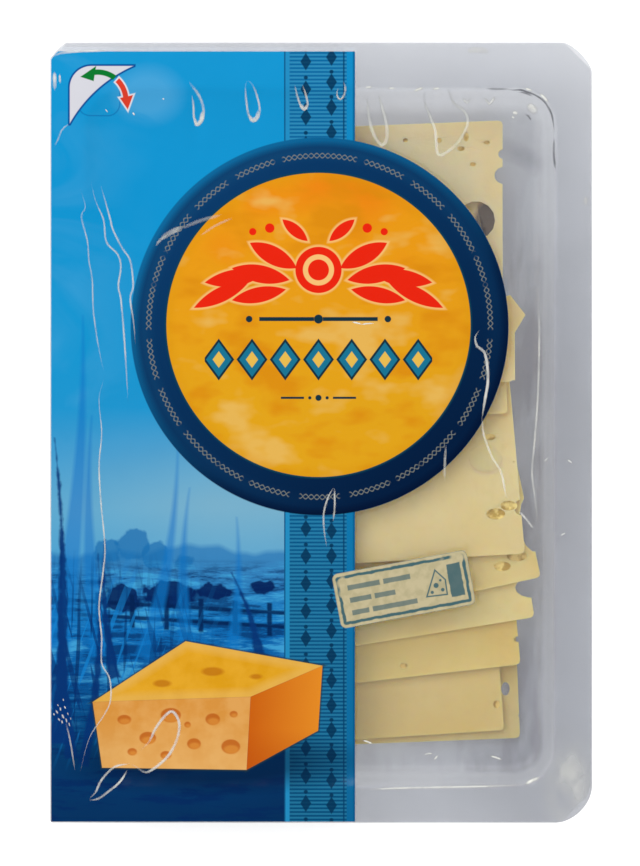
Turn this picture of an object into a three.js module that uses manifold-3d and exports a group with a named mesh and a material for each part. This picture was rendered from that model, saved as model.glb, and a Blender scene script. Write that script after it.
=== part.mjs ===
// A sealed pack of sliced cheese with large eyes, lying on its back with the printed side up.
// A clear thermoformed tray holds nine thin slices, fanned from one end to the other.
// A lidding film is sealed to the tray's flange and sinks a little where the pocket leaves it unsupported.
//
// Millimetres, +Z up, +Y towards the end where the film is peeled, +X towards the clear window.
// The origin is the middle of the footprint, on the surface that the pack lies on.

import * as THREE from "three";
import { mergeVertices } from "three/addons/utils/BufferGeometryUtils.js";
import Module from "manifold-3d";

const wasm = await Module();
wasm.setup();

// The pack as a whole. A corner's squareness is 2 for a circular arc and 1 for a straight chamfer.
const PACK_WIDTH = 150;
const PACK_LENGTH = 216;
const FLANGE_TOP = 17;
const PACK_CORNERS = {
  topRight: { radius: 8, squareness: 1.4 },
  topLeft: { radius: 4.5, squareness: 1.15 },
  bottomLeft: { radius: 0.8, squareness: 2 },
  bottomRight: { radius: 10, squareness: 1.8 },
};
const CONTACT_GAP = 0.3;

// The tray's pocket, measured at the level of the flange
const POCKET = { left: -65.3, right: 65.3, bottom: -98.5, top: 95.2 };
const POCKET_RADIUS = 11;
const WALL = 0.6;
const RIM_ROUND = 1.2;
const WALL_RUN = 2.2;
const FLOOR_ROUND = 3.4;

// The lidding film, and how far it hangs below the flange in the middle and near the two ends
const FILM_THICKNESS = 0.3;
const FILM_INSET = 0.35;
const SAG_MIDDLE = 0.8;
const SAG_ENDS = 2.2;
const SAG_REACH = 7;
const SAG_START = 45;
const SAG_FULL = 85;

// The slices
const SLICE_WIDTH = 104;
const SLICE_LENGTH = 71;
const SLICE_THICKNESS = 1.6;
const SLICE_CORNER = 1.2;
const BEND_RADIUS = 35;
const STEEPEST = 0.3;
const KNOT_STEP = 3;

// Where each slice lies, the lowest first: its lower right corner, then the angles in degrees by which its
// bottom edge and its right edge turn away from the pack's own sides.
// An eye is a centre and two half sizes, with a depth where it doesn't go right through.
// A flap is the outline of a torn part that sticks out past the right edge.
const SLICES = [
  { corner: [55.6, -85.3], turn: 2.2, lean: 2.4,
    eyes: [[51.5, -71.6, 1.2, 1.9], [56.2, -79.1, 1.1, 0.7]] },
  { corner: [51.1, -83], turn: 3.6, lean: 4.3,
    eyes: [[49, -75.8, 0.9, 1.1]] },
  { corner: [55.6, -64.6], turn: 6.4, lean: 5.2,
    eyes: [[23, -65, 1.1, 0.8], [55, -57.6, 1.3, 0.8]] },
  { corner: [59.4, -51.4], turn: 9.1, lean: 9,
    eyes: [[58.8, -43.2, 4.7, 2.8]] },
  { corner: [61.1, -40.2], turn: 12.1, lean: 12,
    eyes: [[59.8, -24.2, 4.6, 8.9], [54.4, -34.3, 2.9, 1.5], [50.4, -37.2, 2.4, 1.3]] },
  { corner: [56.6, -33.6], turn: 3.3, lean: 5,
    eyes: [[45.7, -7.4, 4.7, 4.2, 0.5], [47, -1.2, 1.5, 0.9], [48.5, -22.6, 2.7, 1.6], [52, -20.3, 2.3, 1.4],
      [55.6, -20.8, 1.9, 2.2]] },
  { corner: [51.8, 5.3], turn: 2, lean: 3,
    eyes: [] },
  { corner: [53.9, 14.3], turn: 5, lean: 12,
    eyes: [],
    flap: [[53.8, 14.4], [53.8, 27.7], [56.8, 32.7], [52.6, 38.2], [44, 36], [46, 18]] },
  { corner: [50.4, 16], turn: 2.3, lean: -0.2,
    eyes: [[43.2, 58.9, 5.3, 5.4], [23.5, 81.4, 0.7, 0.6], [32.9, 81.4, 0.8, 0.7], [40.4, 82.4, 0.8, 1.3],
      [39, 79.1, 1.1, 0.7], [46.2, 80.8, 0.9, 0.6], [42.3, 74.7, 0.9, 0.6], [51, 77.6, 1.6, 1.4],
      [51, 71.6, 2.7, 2.4]] },
];

// Each slice also has eyes under the print, drawn at random from one seed.
const HIDDEN_EYES = 5;
const HIDDEN_RIGHT = 2;
const HIDDEN_SMALLEST = 0.9;
const HIDDEN_LARGEST = 5.2;
const EYE_SEED = 29;

// How finely the outlines are cut
const ARC_STEPS = 6;
const SHORT_SIDE_STEPS = 7;
const LONG_SIDE_STEPS = 11;
const EYE_SIDES = 14;
const EYE_RINGS = 6;

const clearTray = new THREE.MeshStandardMaterial({
  color: 0xc3c7d0, roughness: 0.12, metalness: 0, transparent: true, opacity: 0.35,
});
const clearFilm = new THREE.MeshStandardMaterial({
  color: 0xdfe3ea, roughness: 0.1, metalness: 0, transparent: true, opacity: 0.3,
});
const cheese = new THREE.MeshStandardMaterial({ color: 0xe3cf96, roughness: 0.55, metalness: 0 });

// A closed body for cutting and joining, from any closed geometry.
function solidFrom(geometry) {
  const bare = geometry.clone();
  bare.deleteAttribute("normal");
  bare.deleteAttribute("uv");
  const merged = mergeVertices(bare, 1e-4);
  return new wasm.Manifold(
    new wasm.Mesh({
      numProp: 3,
      vertProperties: new Float32Array(merged.attributes.position.array),
      triVerts: new Uint32Array(merged.index.array),
    }),
  );
}

// The geometry of a closed body, with flat faces.
function geometryFrom(solid) {
  const mesh = solid.getMesh();
  const geometry = new THREE.BufferGeometry();
  geometry.setAttribute("position", new THREE.BufferAttribute(new Float32Array(mesh.vertProperties), 3));
  geometry.setIndex(new THREE.BufferAttribute(new Uint32Array(mesh.triVerts), 1));
  const flat = geometry.toNonIndexed();
  flat.computeVertexNormals();
  return flat;
}

function named(name, geometry, material) {
  const mesh = new THREE.Mesh(geometry, material);
  mesh.name = name;
  return mesh;
}

// A rectangle with its own corner at each end, as one counterclockwise ring that always has the same count.
function corneredRing(box, corners) {
  const places = [
    { ...corners.topRight, x: box.right, y: box.top, quarter: 0, steps: SHORT_SIDE_STEPS },
    { ...corners.topLeft, x: box.left, y: box.top, quarter: 1, steps: LONG_SIDE_STEPS },
    { ...corners.bottomLeft, x: box.left, y: box.bottom, quarter: 2, steps: SHORT_SIDE_STEPS },
    { ...corners.bottomRight, x: box.right, y: box.bottom, quarter: 3, steps: LONG_SIDE_STEPS },
  ];
  const onCorner = ({ x, y, radius, squareness, quarter }, share) => {
    const angle = (quarter + share) * Math.PI / 2;
    const reach = (value) => Math.sign(value) * Math.abs(value) ** (2 / squareness);
    const inX = quarter === 0 || quarter === 3 ? -radius : radius;
    const inY = quarter < 2 ? -radius : radius;
    return new THREE.Vector2(
      x + inX + radius * reach(Math.cos(angle)),
      y + inY + radius * reach(Math.sin(angle)),
    );
  };
  const ring = [];
  places.forEach((corner, i) => {
    for (let k = 0; k <= ARC_STEPS; k++) ring.push(onCorner(corner, k / ARC_STEPS));
    const start = onCorner(corner, 1);
    const end = onCorner(places[(i + 1) % places.length], 0);
    for (let k = 1; k < corner.steps; k++) ring.push(start.clone().lerp(end, k / corner.steps));
  });
  return ring;
}

function packRing(inset) {
  const box = {
    left: -PACK_WIDTH / 2 + inset,
    right: PACK_WIDTH / 2 - inset,
    bottom: -PACK_LENGTH / 2 + inset,
    top: PACK_LENGTH / 2 - inset,
  };
  return corneredRing(box, PACK_CORNERS);
}

function pocketRing(inset) {
  const box = {
    left: POCKET.left + inset,
    right: POCKET.right - inset,
    bottom: POCKET.bottom + inset,
    top: POCKET.top - inset,
  };
  const corner = { radius: Math.max(POCKET_RADIUS - inset, 1.5), squareness: 2 };
  return corneredRing(box, { topRight: corner, topLeft: corner, bottomLeft: corner, bottomRight: corner });
}

function atHeight(ring, z) {
  return ring.map((p) => new THREE.Vector3(p.x, p.y, z));
}

// Joins rings of points into one closed body. The first ring is capped by a face that looks up and the last by
// one that looks down, and the surface runs outwards from the first and back inwards to the last.
function bodyFromRings(rings) {
  const count = rings[0].length;
  const faces = [];
  for (let i = 0; i + 1 < rings.length; i++) {
    for (let j = 0; j < count; j++) {
      const here = i * count + j;
      const next = i * count + (j + 1) % count;
      faces.push(here, here + count, next + count, here, next + count, next);
    }
  }
  const cap = (ring, first, looksDown) => {
    const contour = ring.map((p) => new THREE.Vector2(p.x, p.y));
    for (const [a, b, c] of THREE.ShapeUtils.triangulateShape(contour, [])) {
      faces.push(first + a, first + (looksDown ? c : b), first + (looksDown ? b : c));
    }
  };
  cap(rings[0], 0, false);
  cap(rings[rings.length - 1], (rings.length - 1) * count, true);
  const geometry = new THREE.BufferGeometry();
  const positions = rings.flat().flatMap((p) => [p.x, p.y, p.z]);
  geometry.setAttribute("position", new THREE.Float32BufferAttribute(positions, 3));
  geometry.setIndex(faces);
  return geometry;
}

// The inside of the pocket's wall from the rim to the floor, as pairs of the distance in from the rim and the
// distance down from the flange: a rounded rim, a steep straight wall and a rounded foot.
function pocketSection() {
  const section = [[0, 0]];
  for (const share of [0.4, 0.75, 1]) {
    const angle = share * Math.PI / 2;
    section.push([RIM_ROUND * Math.sin(angle), RIM_ROUND * (1 - Math.cos(angle))]);
  }
  const depth = FLANGE_TOP - WALL;
  const foot = RIM_ROUND + WALL_RUN;
  for (const share of [0, 0.3, 0.65, 1]) {
    const angle = share * Math.PI / 2;
    section.push([foot + FLOOR_ROUND * (1 - Math.cos(angle)), depth - FLOOR_ROUND * (1 - Math.sin(angle))]);
  }
  return section;
}

// The outside follows the inside, one wall thickness away, from the flange's underside down to the floor's.
function tray() {
  const section = pocketSection();
  const inside = section.map(([inset, down]) => atHeight(pocketRing(inset), FLANGE_TOP - down)).reverse();
  const flange = [atHeight(packRing(0), FLANGE_TOP), atHeight(packRing(0), FLANGE_TOP - WALL)];
  const outside = section.slice(1).map(([inset, down], i, all) => {
    const isFloor = i === all.length - 1;
    const ring = pocketRing(isFloor ? inset : inset - WALL);
    return atHeight(ring, Math.min(FLANGE_TOP - down - (isFloor ? WALL : 0), FLANGE_TOP - WALL));
  });
  return bodyFromRings([...inside, ...flange, ...outside]);
}

// The space inside the pocket, less the gap that everything in it keeps to the tray.
function room() {
  const rings = pocketSection().map(([inset, down]) => (
    atHeight(pocketRing(inset + CONTACT_GAP), FLANGE_TOP - down + CONTACT_GAP)
  ));
  return bodyFromRings(rings);
}

function filmSag(y, inset) {
  const ends = THREE.MathUtils.smoothstep(Math.abs(y), SAG_START, SAG_FULL);
  return (SAG_MIDDLE + (SAG_ENDS - SAG_MIDDLE) * ends) * (1 - Math.exp(-inset / SAG_REACH));
}

function lidFilm() {
  const insets = [60, 48, 36, 26, 18, 12, 7, 3, 0];
  const face = (z) => [
    ...insets.map((inset) => pocketRing(inset).map((p) => (
      new THREE.Vector3(p.x, p.y, z - filmSag(p.y, inset))
    ))),
    atHeight(packRing(FILM_INSET), z),
  ];
  const underside = FLANGE_TOP + CONTACT_GAP;
  return bodyFromRings([...face(underside + FILM_THICKNESS), ...face(underside).reverse()]);
}

function sliceFrame({ corner, turn, lean }) {
  const bottom = THREE.MathUtils.degToRad(turn);
  const side = THREE.MathUtils.degToRad(lean);
  return (x, y) => new THREE.Vector2(
    corner[0] + x * Math.cos(bottom) - y * Math.sin(side),
    corner[1] + x * Math.sin(bottom) + y * Math.cos(side),
  );
}

function sliceOutline(slice) {
  const at = sliceFrame(slice);
  const c = SLICE_CORNER;
  const blunt = 0.29 * c;
  const outline = [];
  const corners = [[0, 0], [0, SLICE_LENGTH], [-SLICE_WIDTH, SLICE_LENGTH], [-SLICE_WIDTH, 0]];
  corners.forEach(([x, y], i) => {
    const inX = x === 0 ? -1 : 1;
    const inY = y === 0 ? 1 : -1;
    const arc = [at(x + inX * c, y), at(x + inX * blunt, y + inY * blunt), at(x, y + inY * c)];
    outline.push(...(i % 2 === 0 ? arc : arc.reverse()));
  });
  return outline;
}

// Heights along Y of what lies in the tray so far. A slice drapes over what is under it: it never bends
// tighter than BEND_RADIUS, and never slopes more than STEEPEST.
const knots = [];
for (let y = POCKET.bottom + 2.5; y < POCKET.top; y += KNOT_STEP) knots.push(y);
let heap = knots.map(() => WALL + CONTACT_GAP);

function fallOver(distance) {
  const curved = STEEPEST * BEND_RADIUS;
  return distance < curved
    ? distance ** 2 / (2 * BEND_RADIUS)
    : curved ** 2 / (2 * BEND_RADIUS) + STEEPEST * (distance - curved);
}

// Lays a slice with this outline on the heap, and gives the heights of its underside.
function layOnHeap(outline) {
  const low = Math.min(...outline.map((p) => p.y)) - KNOT_STEP;
  const high = Math.max(...outline.map((p) => p.y)) + KNOT_STEP;
  const covered = knots.map((y) => y > low && y < high);
  const underside = knots.map((y) => Math.max(
    ...knots.map((other, j) => (covered[j] ? heap[j] - fallOver(Math.abs(y - other)) : 0)),
  ));
  heap = heap.map((z, j) => (covered[j] ? underside[j] + SLICE_THICKNESS + CONTACT_GAP : z));
  return underside;
}

// A sheet as wide as the pack that follows the underside's heights along Y.
function drapedSheet(underside) {
  const lower = knots.map((y, j) => new THREE.Vector2(y, underside[j]));
  const upper = knots.map((y, j) => new THREE.Vector2(y, underside[j] + SLICE_THICKNESS)).reverse();
  const section = new THREE.Shape([...lower, ...upper]);
  const geometry = new THREE.ExtrudeGeometry(section, { depth: PACK_WIDTH, bevelEnabled: false });
  const sectionToPack = new THREE.Matrix4().makeBasis(
    new THREE.Vector3(0, 1, 0),
    new THREE.Vector3(0, 0, 1),
    new THREE.Vector3(1, 0, 0),
  );
  geometry.applyMatrix4(sectionToPack);
  geometry.translate(-PACK_WIDTH / 2, 0, 0);
  return solidFrom(geometry);
}

function upright(points) {
  const geometry = new THREE.ExtrudeGeometry(new THREE.Shape(points), { depth: FLANGE_TOP, bevelEnabled: false });
  return solidFrom(geometry);
}

// A through eye is cut by a tall egg about the slice's middle, a blind one by a flat egg at its upper face.
function eyeCutter([x, y, halfX, halfY, depth], underside, lift) {
  const knot = knots.findIndex((k) => k > y);
  const nearer = knots[knot] - y < KNOT_STEP / 2 ? knot : knot - 1;
  const through = depth === undefined;
  const tall = through ? 4 + Math.max(halfX, halfY) : depth;
  const z = underside[nearer] + (through ? SLICE_THICKNESS / 2 + lift : SLICE_THICKNESS);
  const geometry = new THREE.SphereGeometry(1, EYE_SIDES, EYE_RINGS);
  geometry.rotateX(Math.PI / 2);
  geometry.scale(halfX * 1.04, halfY * 1.04, tall);
  geometry.translate(x, y, z);
  return solidFrom(geometry);
}

function randomFrom(seed) {
  let state = seed;
  return () => {
    state = (state * 1664525 + 1013904223) % 4294967296;
    return state / 4294967296;
  };
}

function hiddenEyes(slice, random) {
  const at = sliceFrame(slice);
  const eyes = [];
  while (eyes.length < HIDDEN_EYES) {
    const spot = at(-SLICE_WIDTH * (0.1 + 0.85 * random()), SLICE_LENGTH * (0.08 + 0.84 * random()));
    const half = HIDDEN_SMALLEST + (HIDDEN_LARGEST - HIDDEN_SMALLEST) * random() ** 2;
    if (spot.x + half < HIDDEN_RIGHT) eyes.push([spot.x, spot.y, half, half * (0.8 + 0.3 * random())]);
  }
  return eyes;
}

function cheeseSlice(slice, space, random) {
  const outline = sliceOutline(slice);
  const underside = layOnHeap(outline);
  let plan = upright(outline);
  if (slice.flap) plan = plan.add(upright(slice.flap.map(([x, y]) => new THREE.Vector2(x, y))));
  let solid = drapedSheet(underside).intersect(plan).intersect(space);
  for (const eye of [...slice.eyes, ...hiddenEyes(slice, random)]) {
    solid = solid.subtract(eyeCutter(eye, underside, 1.6 * random() - 0.8));
  }
  const pieces = solid.decompose();
  pieces.sort((a, b) => b.volume() - a.volume());
  return geometryFrom(pieces[0]);
}

function slices() {
  const space = solidFrom(room());
  const random = randomFrom(EYE_SEED);
  const stack = new THREE.Group();
  SLICES.forEach((slice, i) => {
    stack.add(named(`slice_${i + 1}`, cheeseSlice(slice, space, random), cheese));
  });
  return stack;
}

const pack = new THREE.Group();
pack.name = "cheese_pack";
pack.add(named("tray", tray(), clearTray));
pack.add(slices());
pack.add(named("lid_film", lidFilm(), clearFilm));

export default pack;
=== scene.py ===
# A sealed pack of sliced cheese, lying on its back with the printed side up and seen from straight above.
# Places on the pack are in millimetres, as a ruler on it would give them, and become metres for Blender.

import functools
import math

import bpy
import numpy as np
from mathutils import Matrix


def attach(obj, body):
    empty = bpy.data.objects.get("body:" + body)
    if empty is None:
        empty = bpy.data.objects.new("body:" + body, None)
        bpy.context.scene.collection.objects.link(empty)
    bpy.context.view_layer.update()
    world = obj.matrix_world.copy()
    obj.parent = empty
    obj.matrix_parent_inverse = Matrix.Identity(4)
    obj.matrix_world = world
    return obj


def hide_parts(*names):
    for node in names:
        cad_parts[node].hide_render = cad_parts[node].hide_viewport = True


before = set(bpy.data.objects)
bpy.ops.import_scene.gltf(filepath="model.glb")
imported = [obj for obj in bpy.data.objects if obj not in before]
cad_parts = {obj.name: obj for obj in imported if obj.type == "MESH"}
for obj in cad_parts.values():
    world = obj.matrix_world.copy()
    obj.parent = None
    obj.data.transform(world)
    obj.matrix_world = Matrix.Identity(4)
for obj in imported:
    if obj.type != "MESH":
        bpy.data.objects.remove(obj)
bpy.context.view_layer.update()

MM = 0.001

# The pack, as the frame has it
PACK = {"left": -75.0, "right": 75.0, "bottom": -108.0, "top": 108.0}
POCKET = {"left": -65.3, "right": 65.3, "bottom": -98.5, "top": 95.2}
PACK_TOP = 17.6
FLANGE_TOP = 17.0
WALL = 0.6
POCKET_RADIUS = 11.0
RIM_ROUND = 1.2
WALL_RUN = 2.2
FLOOR_ROUND = 3.4
PACK_CORNERS = {
    "top_right": (8.0, 1.4),
    "top_left": (4.5, 1.15),
    "bottom_left": (0.8, 2.0),
    "bottom_right": (10.0, 1.8),
}
SLICES = 9

# The film's upper face, and how it hangs over the pocket
FILM_INSET = 0.35
FILM_TOP = 17.58
FILM_THICKNESS = 0.2
FILM_CELL = 1.0
SAG_MIDDLE = 0.8
SAG_ENDS = 2.2
SAG_REACH = 7.0
SAG_START = 45.0
SAG_FULL = 85.0

# The photograph's frame: the camera's height over the film and the width of the pack in it
CAMERA_HEIGHT = 1600.0
FRAME_HEIGHT = 866
MM_PER_PIXEL = 150 / 542
FRAME_CENTRE = (-0.28, -0.14)

# How much brighter than itself white paper shows in the studio
STUDIO_LIGHT = 1.2


# Selecting and editing

def alone(piece):
    """Selects this piece and nothing else."""
    bpy.ops.object.select_all(action="DESELECT")
    piece.select_set(True)
    bpy.context.view_layer.objects.active = piece


def pick(piece, kind, wanted):
    """Opens the piece in edit mode with those vertices or faces selected whose place is wanted."""
    alone(piece)
    bpy.ops.object.mode_set(mode="EDIT")
    bpy.ops.mesh.select_mode(type=kind)
    bpy.ops.mesh.select_all(action="DESELECT")
    bpy.ops.object.mode_set(mode="OBJECT")
    parts = piece.data.vertices if kind == "VERT" else piece.data.polygons
    for part in parts:
        part.select = wanted(part.co if kind == "VERT" else part.center)
    bpy.ops.object.mode_set(mode="EDIT")


def closed(piece):
    bpy.ops.object.mode_set(mode="OBJECT")
    return piece


def added(operator, **settings):
    """The object that this operator adds, with nothing else selected."""
    bpy.ops.object.select_all(action="DESELECT")
    operator(**settings)
    return bpy.context.object


def settled():
    """Puts the selected object's place, turn and size into its mesh."""
    bpy.ops.object.transform_apply(location=True, rotation=True, scale=True)


def finished(piece, kind, **settings):
    """Adds a modifier with these settings and applies it."""
    alone(piece)
    modifier = piece.modifiers.new(kind.lower(), kind)
    for name, value in settings.items():
        setattr(modifier, name, value)
    bpy.ops.object.modifier_apply(modifier=modifier.name)


def smooth(piece, degrees=35):
    alone(piece)
    bpy.ops.object.shade_smooth_by_angle(angle=math.radians(degrees))


def dressed(piece, finishes, slot, *nodes):
    """The piece gets its finishes, goes with the pack and stands for these solids."""
    while len(piece.data.materials) < len(finishes):
        piece.data.materials.append(None)
    for place, finish in enumerate(finishes):
        piece.data.materials[place] = finish
    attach(piece, "root")
    if nodes:
        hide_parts(*nodes)
    return piece


# The maths of a painted surface

def sum_of(operation, reflected=False):
    """A Python operator that adds a Math node, with its two sides swapped in the reflected form."""
    def worked_out(self, other):
        sides = (other, self) if reflected else (self, other)
        return self.paint.math(operation, *sides)
    return worked_out


class Amount:
    """A number that changes over a surface. Python's operators on it add Math nodes."""

    def __init__(self, paint, socket):
        self.paint = paint
        self.socket = socket

    __add__ = sum_of("ADD")
    __sub__ = sum_of("SUBTRACT")
    __mul__ = sum_of("MULTIPLY")
    __truediv__ = sum_of("DIVIDE")
    __pow__ = sum_of("POWER")
    __radd__ = sum_of("ADD", reflected=True)
    __rsub__ = sum_of("SUBTRACT", reflected=True)
    __rmul__ = sum_of("MULTIPLY", reflected=True)
    __rtruediv__ = sum_of("DIVIDE", reflected=True)

    def __neg__(self):
        return self.paint.math("MULTIPLY", self, -1.0)

    def __abs__(self):
        return self.paint.math("ABSOLUTE", self)

    def sine(self):
        return self.paint.math("SINE", self)

    def fraction(self):
        return self.paint.math("FRACT", self)

    def least(self, *others):
        return functools.reduce(functools.partial(self.paint.math, "MINIMUM"), others, self)

    def most(self, *others):
        return functools.reduce(functools.partial(self.paint.math, "MAXIMUM"), others, self)

    def between(self, low, high):
        """0 at low and 1 at high, with a straight ramp from one to the other."""
        scale = 1 / (high - low)
        return self.paint.math("MULTIPLY_ADD", self, scale, -low * scale, use_clamp=True)

    def inside(self, soft=0.16):
        """1 where this distance from an edge is positive, and 0 where it is negative."""
        return self.between(-soft / 2, soft / 2)


class Paint:
    """The nodes of one material."""

    def __init__(self, name):
        self.material = bpy.data.materials.new(name)
        self.material.use_nodes = True
        self.tree = self.material.node_tree
        self.tree.nodes.clear()

    @classmethod
    def again(cls, name, material):
        """A copy of a material, to go on from the shader that it ends in."""
        paint = cls.__new__(cls)
        paint.material = material.copy()
        paint.material.name = name
        paint.tree = paint.material.node_tree
        output = paint.tree.get_output_node("ALL")
        shader = Amount(paint, output.inputs["Surface"].links[0].from_socket)
        paint.tree.nodes.remove(output)
        return paint, shader

    def node(self, kind, settings, values, output=0):
        made = self.tree.nodes.new(kind)
        for name, value in settings.items():
            if name == "stops":
                self.set_stops(made.color_ramp, value)
            else:
                setattr(made, name, value)
        for name, value in values.items():
            if isinstance(value, Amount):
                self.tree.links.new(value.socket, made.inputs[name])
            else:
                made.inputs[name].default_value = value
        return Amount(self, made.outputs[output])

    def set_stops(self, ramp, stops):
        while len(ramp.elements) < len(stops):
            ramp.elements.new(1.0)
        for element, (place, colour) in zip(ramp.elements, stops):
            element.position = place
            element.color = colour

    def math(self, operation, *values, use_clamp=False):
        settings = {"operation": operation, "use_clamp": use_clamp}
        return self.node("ShaderNodeMath", settings, dict(enumerate(values)))

    def vector(self, operation, *values, output=0):
        return self.node("ShaderNodeVectorMath", {"operation": operation}, dict(enumerate(values)), output)

    def over(self, under, colour, mask):
        """One colour laid over another where the mask is 1."""
        settings = {"data_type": "RGBA", "clamp_factor": True}
        return self.node("ShaderNodeMix", settings, {0: mask, 6: under, 7: colour}, 2)

    def place(self):
        """The point on the pack in millimetres, and its x and y."""
        spot = self.node("ShaderNodeTexCoord", {}, {}, 3)
        point = self.vector("MULTIPLY", spot, (1000.0, 1000.0, 1000.0))
        parts = self.tree.nodes.new("ShaderNodeSeparateXYZ")
        self.tree.links.new(point.socket, parts.inputs[0])
        return point, Amount(self, parts.outputs[0]), Amount(self, parts.outputs[1])

    def flat(self, x, y):
        return self.node("ShaderNodeCombineXYZ", {}, {0: x, 1: y, 2: 0.0})

    def noise(self, point, size, detail=2.0, roughness=0.5, distortion=0.0, stretch=(1, 1, 1), seed=0.0,
              solid=False):
        """Soft cloudy noise from about 0.3 to 0.7, whose lumps are about this many millimetres across."""
        shift = (seed * 7.3, seed * 3.1, seed * 5.7)
        scaled = self.vector("MULTIPLY_ADD", point, tuple(v / size for v in stretch), shift)
        settings = {"noise_dimensions": "3D" if solid else "2D"}
        values = {"Vector": scaled, "Scale": 1.0, "Detail": detail, "Roughness": roughness,
                  "Distortion": distortion}
        return self.node("ShaderNodeTexNoise", settings, values)

    def ramp(self, value, stops):
        return self.node("ShaderNodeValToRGB", {"stops": stops}, {0: value})

    def bump(self, height, distance, strength=1.0):
        """Relief whose height runs from 0 to 1, over this many millimetres."""
        values = {"Height": height, "Distance": distance * MM, "Strength": strength}
        return self.node("ShaderNodeBump", {}, values)

    def finish(self, shader):
        output = self.tree.nodes.new("ShaderNodeOutputMaterial")
        self.tree.links.new(shader.socket, output.inputs["Surface"])
        return self.material

    def principled(self, **values):
        return self.node("ShaderNodeBsdfPrincipled", {}, {k.replace("_", " "): v for k, v in values.items()})

    def upright(self):
        """How much the surface faces up, from -1 to 1."""
        outward = self.node("ShaderNodeTexCoord", {}, {}, 1)
        return self.node("ShaderNodeSeparateXYZ", {}, {0: outward}, 2)

    def facing(self, normal):
        """0 where the surface is seen straight on, and 1 where it is seen along its length."""
        return self.node("ShaderNodeLayerWeight", {}, {"Blend": 0.5, "Normal": normal}, 1)

    def see_through(self, tint, gloss, share):
        """A clear material of this tint that shows the gloss shader for this share of it."""
        clear = self.node("ShaderNodeBsdfTransparent", {}, {"Color": tint})
        return self.node("ShaderNodeMixShader", {}, {0: share, 1: clear, 2: gloss})


def ink(red, green, blue):
    """The colour of a surface that shows as this one, from 0 to 255, under the studio's light."""
    def light(value):
        value /= 255
        return (value / 12.92 if value <= 0.04045 else ((value + 0.055) / 1.055) ** 2.4) / STUDIO_LIGHT
    return (light(red), light(green), light(blue), 1.0)


# Shapes on the print: each gives how far inside its edge a point is, in millimetres

def from_point(paint, x, y, centre):
    return paint.vector("DISTANCE", paint.flat(x, y), (centre[0], centre[1], 0.0), output=1)


def disc(paint, x, y, centre, radius):
    return radius - from_point(paint, x, y, centre)


def ellipse(paint, x, y, centre, radii):
    """Nearly the distance inside an ellipse, for one that isn't very long."""
    spot = paint.flat((x - centre[0]) / radii[0], (y - centre[1]) / radii[1])
    length = paint.vector("LENGTH", spot, output=1)
    return (1 - length) * min(radii)


def box(x, y, centre, half):
    return (half[0] - abs(x - centre[0])).least(half[1] - abs(y - centre[1]))


def union(shapes):
    first, *others = shapes
    return first.most(*others)


def turned(x, y, centre, degrees):
    """x and y as measured along a frame that stands at the centre and is turned by this angle."""
    angle = math.radians(degrees)
    dx = x - centre[0]
    dy = y - centre[1]
    return dx * math.cos(angle) + dy * math.sin(angle), dy * math.cos(angle) - dx * math.sin(angle)


def rounded_box(paint, x, y, half, radius):
    """The inside of a box about the origin with rounded corners."""
    qx = abs(x) - (half[0] - radius)
    qy = abs(y) - (half[1] - radius)
    outside = paint.vector("LENGTH", paint.flat(qx.most(0.0), qy.most(0.0)), output=1)
    return radius - outside - qx.most(qy).least(0.0)


def polygon(x, y, corners):
    """The inside of a convex outline, whose corners go round counterclockwise."""
    sides = []
    for (ax, ay), (bx, by) in zip(corners, corners[1:] + corners[:1]):
        length = math.hypot(bx - ax, by - ay)
        nx, ny = (ay - by) / length, (bx - ax) / length
        sides.append(x * nx + y * ny - (ax * nx + ay * ny))
    return sides[0].least(*sides[1:])


def leaf(paint, x, y, start, end, fullness):
    """A pointed leaf between two points: the overlap of two circles."""
    mx, my = (start[0] + end[0]) / 2, (start[1] + end[1]) / 2
    half = math.dist(start, end) / 2
    wide = half * fullness
    radius = (half * half + wide * wide) / (2 * wide)
    nx, ny = (start[1] - end[1]) / (2 * half), (end[0] - start[0]) / (2 * half)
    shift = radius - wide
    one = disc(paint, x, y, (mx + nx * shift, my + ny * shift), radius)
    two = disc(paint, x, y, (mx - nx * shift, my - ny * shift), radius)
    return one.least(two)


def blade(x, y, root, degrees, length, width, bow):
    """A bent blade of grass that grows from its root and thins to its tip."""
    along, across = turned(x, y, root, degrees)
    run = along / length
    middle = run * run * bow
    taper = (1 - run) * width
    body = taper - abs(across - middle)
    return body.least(along, length - along)


# How much light each layer of clear plastic lets through
CLEAR_FILM = (0.965, 0.968, 0.975, 1.0)
CLEAR_TRAY = (0.93, 0.935, 0.945, 1.0)

# The print's layout
PRINT_TOP = 105.4
BAND_LEFT = -10.2
BAND_RIGHT = 9.4
LABEL_CENTRE = (-0.4, 29.4)
LABEL_RADIUS = 52.3
FACE_CENTRE = (-0.7, 29.8)
FACE_RADIUS = 42.1
STAMP = {"centre": (22.9, -43.4), "half": (18.9, 7.6), "turn": 10.6, "corner": 1.6}

SKY = [
    (0.00, ink(1, 50, 98)),
    (0.06, ink(1, 57, 108)),
    (0.12, ink(2, 72, 126)),
    (0.19, ink(2, 90, 160)),
    (0.25, ink(8, 112, 186)),
    (0.30, ink(30, 138, 206)),
    (0.345, ink(66, 162, 212)),
    (0.40, ink(74, 166, 212)),
    (0.48, ink(30, 150, 208)),
    (0.60, ink(12, 150, 209)),
    (0.80, ink(4, 148, 209)),
    (1.00, ink(12, 151, 211)),
]


# The round trees and the bushes of the meadow: their middles and their sizes
TREES = [((-52, -31), 4.4), ((-59, -33), 3.4), ((-46, -34), 3.6), ((-38, -36), 2.4)]
BUSHES = [((-42, -45), (8, 3.4)), ((-55, -46), (5.5, 3.8)), ((-30, -44), (4.5, 2)), ((-16, -43), (3.5, 1.6))]



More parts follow.
